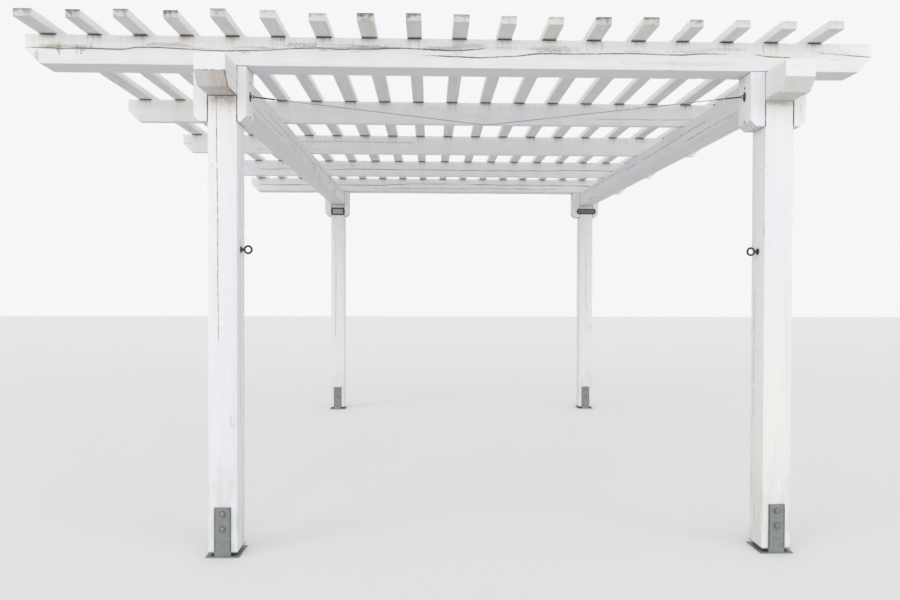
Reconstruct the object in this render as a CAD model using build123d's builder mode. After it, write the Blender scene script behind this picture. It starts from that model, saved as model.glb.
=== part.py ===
import os
from build123d import *

# A free-standing timber pergola. X runs across it, Y from front to rear, Z up.
# The origin is on the floor, under the middle of the roof.

# Timber sections
timber = 140
board_thickness = 38
slat_thickness = 38
eased_edge = 4
board_eased_edge = 2

# The four posts, measured over their outer faces
frame_width = 2828
frame_depth = 4460
post_top = 2208
base_height = 25

# What runs on past the posts
beam_reach = 198
cross_beam_left_reach = 850
cross_beam_right_reach = 382
slat_reach = 208

# The cut under each end of a beam: how far it runs along and up
beam_bevel_length = 50
beam_bevel_height = 60
cross_beam_bevel = 68

# Five cross beams, full timbers at the front and the rear and boards on edge between
# them, and how far each one lies behind its even place
cross_beam_count = 5
cross_beam_thicknesses = (timber, board_thickness, board_thickness, board_thickness, timber)
cross_beam_strays = (0, 34, -31, -14, 0)

# Slats over the whole roof, the width that each board was ripped to, and how far forward
# of its even place each one was laid
slat_count = 18
first_slat_inset = 106
last_slat_inset = 282
slat_widths = (82, 64, 67, 65, 68, 70, 78, 76, 69, 71, 70, 70, 72, 74, 62, 65, 70, 72)
slat_strays = (6, -1, 12, 4, 30, 19, -8, 0, 6, -1, -12, -15, -10, -4, -25, -21, -30, -20)

# Cleats beside the top of each post
cleat_drop = 124
cleat_bevel = 28
cleat_thicknesses = {
    "left_outer": 66,
    "left_inner": 45,
    "right_inner": 72,
    "right_outer": 62,
}

# Post bases: a floor plate, a seat plate on two webs, and a strap up the front and the rear
plate_thickness = 5
floor_plate_width = 160
web_spacing = 70
strap_width = 78
strap_top = 240
strap_corner = 4
strap_bolt_heights = (137, 208)
strap_bolt_hole = 13
anchor_spacing = 100
anchor_hole = 12

# Eye bolts in the inner faces of the front posts
eye_height = 1478
eye_hole_radius = 13
eye_ring_radius = 22
eye_ring_width = 9
eye_rim_bevel = 2.5
eye_collar_radius = 16
eye_collar_thickness = 4
eye_neck_length = 9
eye_shank_radius = 5
eye_shank_depth = 60
pilot_clearance = 0.3

# Two small screw eyes in the faces of the front inner cleats, and the wire strung
# between them, with a kink where a load has pulled it down
wire_eye_drops = {"left": 129, "right": 105}
wire_eye_hole_radius = 5
wire_eye_ring_radius = 8.5
wire_eye_ring_width = 5
wire_eye_neck_length = 4
wire_eye_shank_radius = 2
wire_eye_shank_depth = 30
wire_radius = 1.5
wire_end_clearance = 0.3
wire_kink_drop = 138
wire_kink_left_of_middle = 66
wire_kink_bend_radius = 150

# Places worked out from the sizes above
post_length = post_top - base_height
beam_top = post_top + timber
roof_level = beam_top + timber
cross_beam_length = cross_beam_left_reach + frame_width + cross_beam_right_reach
cross_beam_spacing = (frame_depth - timber) / (cross_beam_count - 1)
slat_pitch = (cross_beam_length - first_slat_inset - last_slat_inset) / (slat_count - 1)
left_face = cross_beam_left_reach - cross_beam_length / 2
right_face = left_face + frame_width
post_columns = {"left": left_face + timber / 2, "right": right_face - timber / 2}
post_rows = {"front": (timber - frame_depth) / 2, "rear": (frame_depth - timber) / 2}
inward = {"left": 1, "right": -1}
outward = {"left": -1, "right": 1}

# Where the wire's screw eyes go in, and the middles of their rings
wire_ring_offset = wire_eye_neck_length + wire_eye_ring_radius
wire_eye_seats = {}
wire_rings = {}
for column, post_middle in post_columns.items():
    seat_x = post_middle + inward[column] * (timber / 2 + cleat_thicknesses[f"{column}_inner"])
    seat_height = beam_top - wire_eye_drops[column]
    wire_eye_seats[column] = Vector(seat_x, post_rows["front"], seat_height)
    wire_rings[column] = wire_eye_seats[column] + Vector(inward[column] * wire_ring_offset, 0, 0)

os.makedirs("parts", exist_ok=True)


def save(piece, name):
    piece.label = name
    export_step(piece, f"parts/{name}.step")


def make_post(column, row):
    # Square post with eased corners, drilled for the eye bolt where it has one
    x = post_columns[column]
    y = post_rows[row]
    with BuildPart() as post:
        with BuildSketch(Plane.XY.offset(base_height)):
            with Locations((x, y)):
                Rectangle(timber, timber)
        extrude(amount=post_length)
        chamfer(post.edges().filter_by(Axis.Z), eased_edge)
        if row == "front":
            into_post = (outward[column], 0, 0)
            inner_face = x + inward[column] * timber / 2
            with BuildSketch(Plane((inner_face, y, eye_height), x_dir=(0, 1, 0), z_dir=into_post)):
                Circle(eye_shank_radius + pilot_clearance)
            extrude(amount=eye_shank_depth + pilot_clearance, mode=Mode.SUBTRACT)
    return post.part


def make_beam(column):
    # Long beam on the posts, front to rear, its ends cut away underneath
    x = post_columns[column]
    end = frame_depth / 2 + beam_reach
    with BuildPart() as beam:
        with BuildSketch(Plane.YZ.offset(x - timber / 2)):
            with BuildLine():
                Polyline(
                    (-end, beam_top),
                    (end, beam_top),
                    (end, post_top + beam_bevel_height),
                    (end - beam_bevel_length, post_top),
                    (beam_bevel_length - end, post_top),
                    (-end, post_top + beam_bevel_height),
                    close=True,
                )
            make_face()
        extrude(amount=timber)
        chamfer(beam.edges().filter_by(Axis.Y), eased_edge)
    return beam.part


def make_cross_beam(index):
    # Cross beam on the two long beams, its ends cut away underneath
    y = post_rows["front"] + index * cross_beam_spacing + cross_beam_strays[index]
    thickness = cross_beam_thicknesses[index]
    easing = eased_edge if thickness == timber else board_eased_edge
    end = cross_beam_length / 2
    with BuildPart() as cross_beam:
        with BuildSketch(Plane.XZ.offset(-y - thickness / 2)):
            with BuildLine():
                Polyline(
                    (-end, roof_level),
                    (end, roof_level),
                    (end, beam_top + cross_beam_bevel),
                    (end - cross_beam_bevel, beam_top),
                    (cross_beam_bevel - end, beam_top),
                    (-end, beam_top + cross_beam_bevel),
                    close=True,
                )
            make_face()
        extrude(amount=thickness)
        chamfer(cross_beam.edges().filter_by(Axis.X), easing)
    return cross_beam.part


def make_slat(index):
    # Narrow board laid flat on the cross beams, front to rear
    x = first_slat_inset + index * slat_pitch - cross_beam_length / 2
    with BuildPart() as slat:
        with BuildSketch(Plane.XY.offset(roof_level)):
            with Locations((x, -slat_strays[index])):
                Rectangle(slat_widths[index], frame_depth + 2 * slat_reach)
        extrude(amount=slat_thickness)
        chamfer(slat.edges().filter_by(Axis.Y), board_eased_edge)
    return slat.part


def make_cleat(column, row, side):
    # Upright block against a post and its long beam, its far bottom corner cut off
    away = outward[column] if side == "outer" else inward[column]
    near = post_columns[column] + away * timber / 2
    far = near + away * cleat_thicknesses[f"{column}_{side}"]
    bottom = post_top - cleat_drop
    with BuildPart() as cleat:
        with BuildSketch(Plane.XZ.offset(-post_rows[row] - timber / 2)):
            with BuildLine():
                Polyline(
                    (near, beam_top),
                    (far, beam_top),
                    (far, bottom + cleat_bevel),
                    (far - away * cleat_bevel, bottom),
                    (near, bottom),
                    close=True,
                )
            make_face()
        extrude(amount=timber)
        far_edges = cleat.edges().filter_by(Axis.Z).sort_by(Axis.X)
        chamfer(far_edges[-2:] if away > 0 else far_edges[:2], board_eased_edge)
        if row == "front" and side == "inner":
            into_cleat = (outward[column], 0, 0)
            with BuildSketch(Plane(wire_eye_seats[column], x_dir=(0, 1, 0), z_dir=into_cleat)):
                Circle(wire_eye_shank_radius + pilot_clearance)
            extrude(amount=wire_eye_shank_depth + pilot_clearance, mode=Mode.SUBTRACT)
    return cleat.part


def make_base(column, row):
    # Floor plate, two webs, seat plate and two straps, welded into one piece
    x = post_columns[column]
    y = post_rows[row]
    with BuildPart() as base:
        with BuildSketch(Plane.XY):
            with Locations((x, y)):
                Rectangle(floor_plate_width, floor_plate_width)
                with GridLocations(anchor_spacing, anchor_spacing, 2, 2):
                    Circle(anchor_hole / 2, mode=Mode.SUBTRACT)
        extrude(amount=plate_thickness)
        with BuildSketch(Plane.XY.offset(plate_thickness)):
            with Locations((x, y)):
                with GridLocations(web_spacing, 0, 2, 1):
                    Rectangle(plate_thickness, timber)
        extrude(amount=base_height - 2 * plate_thickness)
        with BuildSketch(Plane.XY.offset(base_height - plate_thickness)):
            with Locations((x, y)):
                Rectangle(timber, timber)
        extrude(amount=plate_thickness)
        with BuildSketch(Plane.XY):
            with Locations((x, y)):
                with GridLocations(0, timber + plate_thickness, 1, 2):
                    Rectangle(strap_width, plate_thickness)
        extrude(amount=strap_top)
        fillet(base.edges().filter_by(Axis.Y).group_by(Axis.Z)[-1], strap_corner)
        with BuildSketch(Plane.XZ.offset(-y - timber)):
            for height in strap_bolt_heights:
                with Locations((x, height)):
                    Circle(strap_bolt_hole / 2)
        extrude(amount=2 * timber, mode=Mode.SUBTRACT)
    return base.part


def make_eye(column):
    # Eye bolt: shank in the post, collar on its face, and a forged ring on a short neck
    y = post_rows["front"]
    inner_face = post_columns[column] + inward[column] * timber / 2
    ring_offset = eye_collar_thickness + eye_neck_length + eye_ring_radius
    ring_centre = (inner_face + inward[column] * ring_offset, eye_height)
    seat = Plane((inner_face, y, eye_height), x_dir=(0, 1, 0), z_dir=(inward[column], 0, 0))
    with BuildPart() as eye:
        with BuildSketch(Plane.XZ.offset(-y - eye_ring_width / 2)):
            with Locations(ring_centre):
                Circle(eye_ring_radius)
        extrude(amount=eye_ring_width)
        chamfer(eye.edges(), eye_rim_bevel)
        with BuildSketch(seat):
            Circle(eye_collar_radius)
        extrude(amount=eye_collar_thickness)
        with BuildSketch(seat.offset(-eye_shank_depth)):
            Circle(eye_shank_radius)
        extrude(amount=eye_shank_depth + ring_offset - eye_hole_radius)
        with BuildSketch(Plane.XZ.offset(-y - eye_ring_width / 2)):
            with Locations(ring_centre):
                Circle(eye_hole_radius)
        extrude(amount=eye_ring_width, mode=Mode.SUBTRACT)
    return eye.part


def make_wire_eyes():
    # The pair of screw eyes for the wire, each a flat ring on a straight shank
    with BuildPart() as eyes:
        for column, ring in wire_rings.items():
            seat = Plane(wire_eye_seats[column], x_dir=(0, 1, 0), z_dir=(inward[column], 0, 0))
            with BuildSketch(seat.offset(-wire_eye_shank_depth)):
                Circle(wire_eye_shank_radius)
            extrude(amount=wire_eye_shank_depth + wire_ring_offset)
            ring_front = Plane.XZ.offset(-ring.Y - wire_eye_ring_width / 2)
            with BuildSketch(ring_front):
                with Locations((ring.X, ring.Z)):
                    Circle(wire_eye_ring_radius)
            extrude(amount=wire_eye_ring_width)
            with BuildSketch(ring_front):
                with Locations((ring.X, ring.Z)):
                    Circle(wire_eye_hole_radius)
            extrude(amount=wire_eye_ring_width, mode=Mode.SUBTRACT)
    return eyes.part


def make_hanging_wire():
    # Wire from ring to ring, straight on both sides of its kink
    left, right = wire_rings["left"], wire_rings["right"]
    kink = (left + right) / 2 - Vector(wire_kink_left_of_middle, 0, wire_kink_drop)
    end_gap = wire_eye_ring_radius + wire_end_clearance
    left_end = left + (kink - left).normalized() * end_gap
    right_end = right + (kink - right).normalized() * end_gap
    with BuildPart() as wire:
        with BuildLine() as route:
            FilletPolyline(left_end, kink, right_end, radius=wire_kink_bend_radius)
        with BuildSketch(Plane(route.line @ 0, z_dir=route.line % 0)):
            Circle(wire_radius)
        sweep()
    return wire.part


for column in post_columns:
    for row in post_rows:
        save(make_post(column, row), f"post_{row}_{column}")
        save(make_base(column, row), f"base_{row}_{column}")
        for side in ("outer", "inner"):
            save(make_cleat(column, row, side), f"cleat_{row}_{column}_{side}")
    save(make_beam(column), f"beam_{column}")
    save(make_eye(column), f"eye_{column}")
for index in range(cross_beam_count):
    save(make_cross_beam(index), f"cross_beam_{index + 1}")
for index in range(slat_count):
    save(make_slat(index), f"slat_{index + 1:02d}")
save(make_wire_eyes(), "wire_eyes")
save(make_hanging_wire(), "hanging_wire")
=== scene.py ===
# Looks of a garden pergola: weathered white paint on heavy timber, dull zinc fittings
import math
import random

import bmesh
import bpy
from mathutils import Matrix, Vector, noise


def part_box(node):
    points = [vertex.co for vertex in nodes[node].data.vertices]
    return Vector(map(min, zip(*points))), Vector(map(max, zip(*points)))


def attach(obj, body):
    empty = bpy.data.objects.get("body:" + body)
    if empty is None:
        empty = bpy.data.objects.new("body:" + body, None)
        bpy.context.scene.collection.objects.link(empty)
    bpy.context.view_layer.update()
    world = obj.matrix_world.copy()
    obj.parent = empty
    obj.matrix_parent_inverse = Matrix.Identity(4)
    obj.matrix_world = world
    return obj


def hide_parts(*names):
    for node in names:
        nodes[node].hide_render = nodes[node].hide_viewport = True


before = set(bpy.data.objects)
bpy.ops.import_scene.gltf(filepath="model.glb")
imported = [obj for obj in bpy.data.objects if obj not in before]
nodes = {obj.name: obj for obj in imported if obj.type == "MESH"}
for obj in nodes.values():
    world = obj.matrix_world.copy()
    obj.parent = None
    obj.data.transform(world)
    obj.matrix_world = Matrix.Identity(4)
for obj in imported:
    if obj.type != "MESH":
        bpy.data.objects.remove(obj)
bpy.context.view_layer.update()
print("frame loaded with", len(nodes), "nodes")

# Levels and lines that the finishes are laid out by, all read from the frame
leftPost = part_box("post_front_left")
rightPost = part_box("post_front_right")
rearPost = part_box("post_rear_left")
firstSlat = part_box("slat_01")
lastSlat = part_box("slat_18")
slatCount = sum(name.startswith("slat_") for name in nodes)
crossBeamCount = sum(name.startswith("cross_beam_") for name in nodes)
timberHalf = (leftPost[1].x - leftPost[0].x) / 2
columnMiddle = (leftPost[0].x + rightPost[1].x) / 2
columnReach = (rightPost[1].x - leftPost[0].x) / 2 - timberHalf
rowReach = rearPost[1].y - timberHalf
frontFace = leftPost[0].y
postTop = leftPost[1].z
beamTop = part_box("beam_left")[1].z
roofLevel = firstSlat[0].z
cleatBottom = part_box("cleat_front_left_inner")[0].z
slatStart = (firstSlat[0].x + firstSlat[1].x) / 2
slatEnd = (lastSlat[0].x + lastSlat[1].x) / 2
slatPitch = (slatEnd - slatStart) / (slatCount - 1)
slatHalf = 0.035  # half of a usual slat's width


# Small helpers for building a material's nodes

class Value:
    # One output of a node. Sums and products with it add Math nodes
    def __init__(self, tree, socket):
        self.tree = tree
        self.socket = socket

    def __add__(self, other):
        return maths("ADD", self, other)

    def __sub__(self, other):
        return maths("SUBTRACT", self, other)

    def __rsub__(self, other):
        return maths("SUBTRACT", other, self)

    def __mul__(self, other):
        return maths("MULTIPLY", self, other)

    def __truediv__(self, other):
        return maths("DIVIDE", self, other)

    def __abs__(self):
        return maths("ABSOLUTE", self)

    __radd__ = __add__
    __rmul__ = __mul__


def feed(socket, value):
    if isinstance(value, Value):
        value.tree.links.new(value.socket, socket)
    elif isinstance(value, tuple) and socket.type == "RGBA":
        socket.default_value = (*value, 1.0)
    else:
        socket.default_value = value


def addNode(tree, kind, inputs, output=0, **settings):
    node = tree.nodes.new("ShaderNode" + kind)
    for name, value in settings.items():
        setattr(node, name, value)
    for socket, value in inputs.items():
        feed(node.inputs[socket], value)
    return Value(tree, node.outputs[output])


def maths(operation, first, second=0.0):
    tree = first.tree if isinstance(first, Value) else second.tree
    return addNode(tree, "Math", {0: first, 1: second}, operation=operation)


def larger(first, second):
    return maths("MAXIMUM", first, second)


def fade(value, start, end):
    # 0 at start, 1 at end, smooth between, and either may be the larger
    inputs = {"Value": value, "From Min": start, "From Max": end}
    return addNode(value.tree, "MapRange", inputs, interpolation_type="SMOOTHSTEP")


def within(value, limit, soft):
    # 1 below the limit, 0 above it
    return fade(value, limit + soft, limit - soft)


def away(value, middle):
    return abs(value - middle)


def stretch(place, scale, shift=(0.0, 0.0, 0.0)):
    return addNode(place.tree, "Mapping", {"Vector": place, "Scale": scale, "Location": shift})


def texture(kind, place, scale, output=0, **inputs):
    # A texture at one scale, or drawn out where its scale is given along each axis
    if isinstance(scale, tuple):
        place = stretch(place, scale)
        scale = 1.0
    return addNode(place.tree, kind, {"Vector": place, "Scale": scale, **inputs}, output)


def cloud(place, scale, detail=3.0, roughness=0.5):
    return texture("TexNoise", place, scale, Detail=detail, Roughness=roughness)


def cells(place, scale, output="Distance"):
    return texture("TexVoronoi", place, scale, output)


def attribute(place, name):
    return addNode(place.tree, "Attribute", {}, "Fac", attribute_name=name)


def blendColour(mask, under, over):
    return addNode(mask.tree, "Mix", {0: mask, 6: under, 7: over}, 2, data_type="RGBA")


def bumpFrom(height, distance, strength, **more):
    inputs = {"Distance": distance, "Strength": strength, "Height": height, **more}
    return addNode(height.tree, "Bump", inputs)


def split(vector):
    outputs = addNode(vector.tree, "SeparateXYZ", {0: vector}).socket.node.outputs
    return [Value(vector.tree, output) for output in outputs]


def join(x, y, z):
    return addNode(x.tree, "CombineXYZ", {0: x, 1: y, 2: z})


def lengthOf(vector):
    return addNode(vector.tree, "VectorMath", {0: vector}, "Value", operation="LENGTH")


def patch(place, centre, radii, ragged, torn):
    # 1 inside an oval round centre, 0 outside, its rim torn by a noise about nought
    scale = tuple(1 / radius for radius in radii)
    shift = tuple(-middle / radius for middle, radius in zip(centre, radii))
    return fade(lengthOf(stretch(place, scale, shift)) + torn * ragged, 1.1, 0.55)


def newMaterial(name):
    material = bpy.data.materials.new(name)
    material.use_nodes = True
    tree = material.node_tree
    tree.nodes.clear()
    shader = tree.nodes.new("ShaderNodeBsdfPrincipled")
    output = tree.nodes.new("ShaderNodeOutputMaterial")
    tree.links.new(shader.outputs["BSDF"], output.inputs["Surface"])
    place = addNode(tree, "TexCoord", {}, "Object")
    return material, place, shader


# White paint on timber. Every timber takes the same paint, turned along its own grain

paintLook = {
    "cool": (0.808, 0.820, 0.846),
    "warm": (0.838, 0.829, 0.808),
    "shade": (0.520, 0.515, 0.515),
    "hairline": (0.200, 0.185, 0.175),
    # Painted shade deep inside checks and splits
    "gap": (0.040, 0.034, 0.030),
    # Brown of the dirt in checks, also laid as painted shade under slats and on the cleats' undersides
    "dirtAndShadeBrown": (0.340, 0.300, 0.260),
    "woodBrown": (0.330, 0.235, 0.170),
    "woodGrey": (0.330, 0.310, 0.290),
    "ochre": (0.610, 0.520, 0.350),
    "tan": (0.560, 0.430, 0.340),
    "pinkTan": (0.580, 0.470, 0.430),
    "rustPink": (0.560, 0.330, 0.300),
    "mildew": (0.120, 0.114, 0.106),
    "soot": (0.400, 0.402, 0.420),
    "endGrey": (0.135, 0.130, 0.126),
    "endTone": (0.500, 0.486, 0.472),
    "leftEndTone": (0.500, 0.420, 0.360),
    "rightEndTone": (0.600, 0.570, 0.500),
    "joint": (0.090, 0.074, 0.062),
    # Painted shadow where slats meet the cross beams
    "contactShadow": (0.050, 0.038, 0.032),
    # How fine each pattern is across the grain and along it
    "grain": (38.0, 1.6),
    "brush": (190.0, 3.2),
    "drift": (5.0, 0.9),
    "hairlines": (15.96, 0.672),
    "hairlinePatches": (2.6, 0.9),
    "flakes": (30.0, 7.0),
    "flakePatches": (3.4, 1.2),
    "knots": (2.1, 1.5),
    "torn": 46.0,
    "hairlineLevels": 6.0,
    "streakAmount": 0.13,
    "brushAmount": 0.08,
    "hairlineAmount": 0.50,
    "knotAmount": 0.38,
    "flakeAmount": 0.34,
    "topAmount": 0.34,
    "gapDirtAmount": 0.70,
    "roughness": 0.46,
    "brushRoughness": 0.22,
    "hairlineRoughness": 0.20,
    "brushHeight": 0.30,  # beside a flake's depth of one
    "coarseRelief": (0.0018, 0.35),  # each relief's depth and strength
    "fineRelief": (0.0010, 0.6),
}


def paintedTimber(name, axis, settings, findMasks):
    look = paintLook
    material, place, shader = newMaterial(name)
    facing = split(addNode(place.tree, "NewGeometry", {}, "Normal"))

    def along(pattern):
        across, lengthwise = look[pattern]
        return tuple(lengthwise if i == axis else across for i in range(3))

    grain = cloud(place, along("grain"), 4.0, 0.6)
    brush = cloud(place, along("brush"), 3.0, 0.6)
    torn = cloud(place, look["torn"], 4.0, 0.65) - 0.5

    # Cool and warm whites drift along the timber, with faint streaks and brush strokes in them
    drift = cloud(place, along("drift"), 3.0, 0.55)
    colour = blendColour(fade(drift, 0.38, 0.66), look["cool"], look["warm"])
    colour = blendColour(fade(grain, 0.52, 0.74) * look["streakAmount"], colour, look["shade"])
    colour = blendColour(fade(brush, 0.45, 0.75) * look["brushAmount"], colour, look["shade"])

    # Hairline checks: the level lines of stretched noise, in patches
    level = cloud(place, along("hairlines"), 4.0, 0.62)
    level = maths("PINGPONG", level * look["hairlineLevels"], 0.5)
    hairline = fade(level, 0.035, 0.005) * fade(cloud(place, along("hairlinePatches"), 2.0), 0.56, 0.68)
    colour = blendColour(hairline * look["hairlineAmount"], colour, look["hairline"])

    # Small flakes that have come off, and sparse knots that show through
    flake = fade(cloud(place, along("flakes"), 6.0, 0.68), 0.635, 0.655)
    flake = flake * fade(cloud(place, along("flakePatches"), 2.0), 0.50, 0.62)
    colour = blendColour(flake * look["flakeAmount"], colour, look["woodGrey"])
    knot = fade(cells(place, along("knots")), 0.036, 0.012)
    colour = blendColour(knot * look["knotAmount"], colour, look["tan"])

    # Tops lie open to the weather, and go grey along the grain
    top = fade(facing[2], 0.6, 0.9) * fade(grain, 0.40, 0.66) * look["topAmount"]
    colour = blendColour(top, colour, look["woodGrey"])

    masks = findMasks(place, facing, torn)
    for mark, (strength, tint) in settings["marks"].items():
        colour = blendColour(masks[mark] * strength, colour, look[tint])
    if "clouds" in settings:
        colour = blendColour(clouded(place, torn, settings["clouds"]), colour, look["soot"])
        colour = blendColour(lifted(place, torn, settings["lifted"]), colour, look["hairline"])
    if "smears" in settings:
        for mask, tint in smears(place, torn, settings["smears"]):
            colour = blendColour(mask, colour, look[tint])

    # Open checks carry their own depth on the mesh: dirt at the lips, and painted shade over dark wood deep
    # inside
    opening = attribute(place, "gap")
    soiled = fade(opening, 0.05, 0.6) * fade(torn, -0.14, 0.06) * look["gapDirtAmount"]
    colour = blendColour(soiled, colour, look["dirtAndShadeBrown"])
    colour = blendColour(fade(opening, 0.62, 0.9), colour, look["gap"])
    feed(shader.inputs["Base Color"], colour)

    rough = brush * look["brushRoughness"] + look["roughness"]
    feed(shader.inputs["Roughness"], rough + hairline * look["hairlineRoughness"])
    relief = brush * look["brushHeight"] - larger(hairline, flake)
    coarse = bumpFrom(grain, *look["coarseRelief"])
    feed(shader.inputs["Normal"], bumpFrom(relief, *look["fineRelief"], Normal=coarse))
    return material


# Marks. Each piece's settings name them in the order they are laid on, each with its strength and
# its colour, and a function finds the mask of each

frontMarks = {
    "depth": 0.02,  # how far in from the front a mark reaches
    # How torn each kind's rim is, and how fine its pattern along X, Y and Z
    "smears": (2.6, (110.0, 110.0, 300.0)),
    "lifted": (1.6, (15.0, 15.0, 55.0)),
    "clouds": (1.4, (7.0, 7.0, 90.0)),
    "shake": 0.022,
    "leastSpeckle": 0.15,
    "liftedLevels": 9.0,
    "seamTorn": 0.006,
}


def smears(place, torn, marks):
    # Small speckled marks on the front: x, height, half width, half height, strength, colour
    look = frontMarks
    ragged, scale = look["smears"]
    across, depth, up = split(place)
    shaken = join(across + torn * look["shake"], depth, up)
    speckle = fade(cloud(place, scale, 4.0, 0.7), 0.46, 0.60)
    speckle = speckle * (1 - look["leastSpeckle"]) + look["leastSpeckle"]
    made = []
    for x, z, halfWidth, halfHeight, strength, colour in marks:
        mask = patch(shaken, (x, frontFace, z), (halfWidth, look["depth"], halfHeight), ragged, torn)
        made.append((mask * speckle * strength, colour))
    return made


def spots(place, torn, marks, ragged):
    # Several ovals on the front together: x, height, half width, half height, strength
    where = 0.0
    for x, z, halfWidth, halfHeight, strength in marks:
        spot = patch(place, (x, frontFace, z), (halfWidth, frontMarks["depth"], halfHeight), ragged, torn)
        where = larger(where, spot * strength)
    return where


def lifted(place, torn, marks):
    # Edges of paint that has lifted: level lines of a noise, in a few places
    ragged, scale = frontMarks["lifted"]
    level = maths("PINGPONG", cloud(place, scale, 4.0, 0.6) * frontMarks["liftedLevels"], 0.5)
    return fade(level, 0.075, 0.015) * spots(place, torn, marks, ragged)


def clouded(place, torn, marks):
    # Soft grey grime that follows the grain
    ragged, scale = frontMarks["clouds"]
    return fade(cloud(place, scale, 5.0, 0.68), 0.36, 0.62) * spots(place, torn, marks, ragged)


def seam(distance, torn, width):
    # A dirty joint line, uneven in width
    return fade(distance + torn * frontMarks["seamTorn"], width, width * 0.45)


def sawnEnd(facing, axis):
    return fade(abs(facing[axis]), 0.75, 0.9)


def endGrain(facing, axis, torn):
    # Sawn ends go grey in a few blotches
    return sawnEnd(facing, axis) * fade(torn, 0.04, 0.16)


def distanceFrom(across, up):
    return lengthOf(join(across, up, 0.0))


def columnOffset(x):
    # How far a point lies from the middle of its own column of posts
    return away(away(x, columnMiddle), columnReach)


def rowOffset(y):
    return away(abs(y), rowReach)


def slatOffset(x):
    # How far a point lies from the middle of the nearest slat
    return maths("PINGPONG", (x - slatStart) / slatPitch, 0.5) * slatPitch


def leftHalf(x):
    return within(x, columnMiddle, 0.1)


crossBeamMarks = {
    "runDepth": 0.085,
    "shadeUnderSlatsDepth": 0.022,
    "contactShadowDepth": 0.0060,
    "seatWidth": 0.0050,
    "agedBand": (0.050, 0.100),
    # The noise that water has run down in, and the levels of it that each mark fades in between
    "drops": ((70.0, 70.0, 5.0), 3.0, 0.6),
    "runLevels": (0.46, 0.70),
    "underSlatLevels": (0.44, 0.68),
    "shadeUnderSlatsLevels": (0.36, 0.62),
    "marks": {
        "ageing": (0.35, "warm"),
        "runs": (0.16, "tan"),
        "runsUnderSlats": (0.26, "tan"),
        "shadeUnderSlats": (0.42, "dirtAndShadeBrown"),
        "ends": (0.22, "woodGrey"),
        "contactShadow": (0.90, "contactShadow"),
        "seat": (0.85, "joint"),
    },
    # On the first one's front: x, height, half width, half height, strength, and the colour of a smear
    "smears": (
        (-1.893, 2.434, 0.034, 0.018, 0.70, "ochre"),
        (-1.976, 2.388, 0.010, 0.026, 0.60, "mildew"),
        (-1.870, 2.418, 0.018, 0.014, 0.70, "mildew"),
        (-1.772, 2.420, 0.024, 0.014, 0.75, "mildew"),
        (-1.900, 2.424, 0.040, 0.010, 0.50, "mildew"),
        (-1.874, 2.420, 0.0050, 0.034, 0.80, "mildew"),
        (-1.864, 2.430, 0.0030, 0.022, 0.60, "mildew"),
        (-1.790, 2.412, 0.0035, 0.032, 0.65, "mildew"),
        (-1.770, 2.416, 0.0045, 0.040, 0.85, "mildew"),
        (-1.752, 2.430, 0.0030, 0.026, 0.60, "mildew"),
        (-1.724, 2.440, 0.0035, 0.024, 0.60, "mildew"),
        (-1.780, 2.424, 0.055, 0.008, 0.60, "mildew"),
        (-1.620, 2.420, 0.120, 0.006, 0.35, "mildew"),
        (-1.260, 2.428, 0.110, 0.009, 0.45, "mildew"),
        (-1.000, 2.410, 0.024, 0.011, 0.75, "rustPink"),
        (-0.630, 2.424, 0.018, 0.009, 0.50, "rustPink"),
        (-0.730, 2.447, 0.090, 0.014, 0.62, "mildew"),
        (-0.900, 2.430, 0.080, 0.007, 0.40, "mildew"),
        (-0.400, 2.444, 0.090, 0.012, 0.55, "mildew"),
        (-0.060, 2.440, 0.100, 0.013, 0.70, "mildew"),
        (0.020, 2.446, 0.035, 0.040, 0.50, "pinkTan"),
        (0.230, 2.447, 0.070, 0.008, 0.40, "mildew"),
        (0.470, 2.436, 0.090, 0.012, 0.55, "mildew"),
        (0.634, 2.458, 0.0028, 0.032, 0.62, "mildew"),
        (0.706, 2.458, 0.0028, 0.032, 0.66, "mildew"),
        (0.890, 2.436, 0.080, 0.006, 0.35, "mildew"),
        (1.497, 2.460, 0.0034, 0.028, 0.60, "mildew"),
        (1.130, 2.440, 0.110, 0.010, 0.35, "mildew"),
        (1.080, 2.380, 0.300, 0.014, 0.34, "tan"),
    ),
    "lifted": (
        (-1.555, 2.466, 0.060, 0.016, 0.55), (-0.700, 2.452, 0.110, 0.012, 0.55),
        (-0.330, 2.454, 0.110, 0.012, 0.55), (-0.080, 2.448, 0.080, 0.014, 0.55),
        (0.500, 2.448, 0.090, 0.014, 0.55), (1.860, 2.440, 0.140, 0.016, 0.55),
        (-1.960, 2.388, 0.034, 0.026, 0.55),
    ),
    "clouds": (
        (-1.500, 2.474, 0.110, 0.010, 0.45), (-1.370, 2.442, 0.120, 0.013, 0.60),
        (-0.970, 2.428, 0.140, 0.015, 0.55), (-0.520, 2.438, 0.230, 0.021, 0.70),
        (0.060, 2.452, 0.120, 0.014, 0.60), (0.460, 2.445, 0.150, 0.017, 0.60),
        (-1.840, 2.432, 0.150, 0.012, 0.60), (1.250, 2.452, 0.180, 0.010, 0.35),
    ),
}


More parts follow.
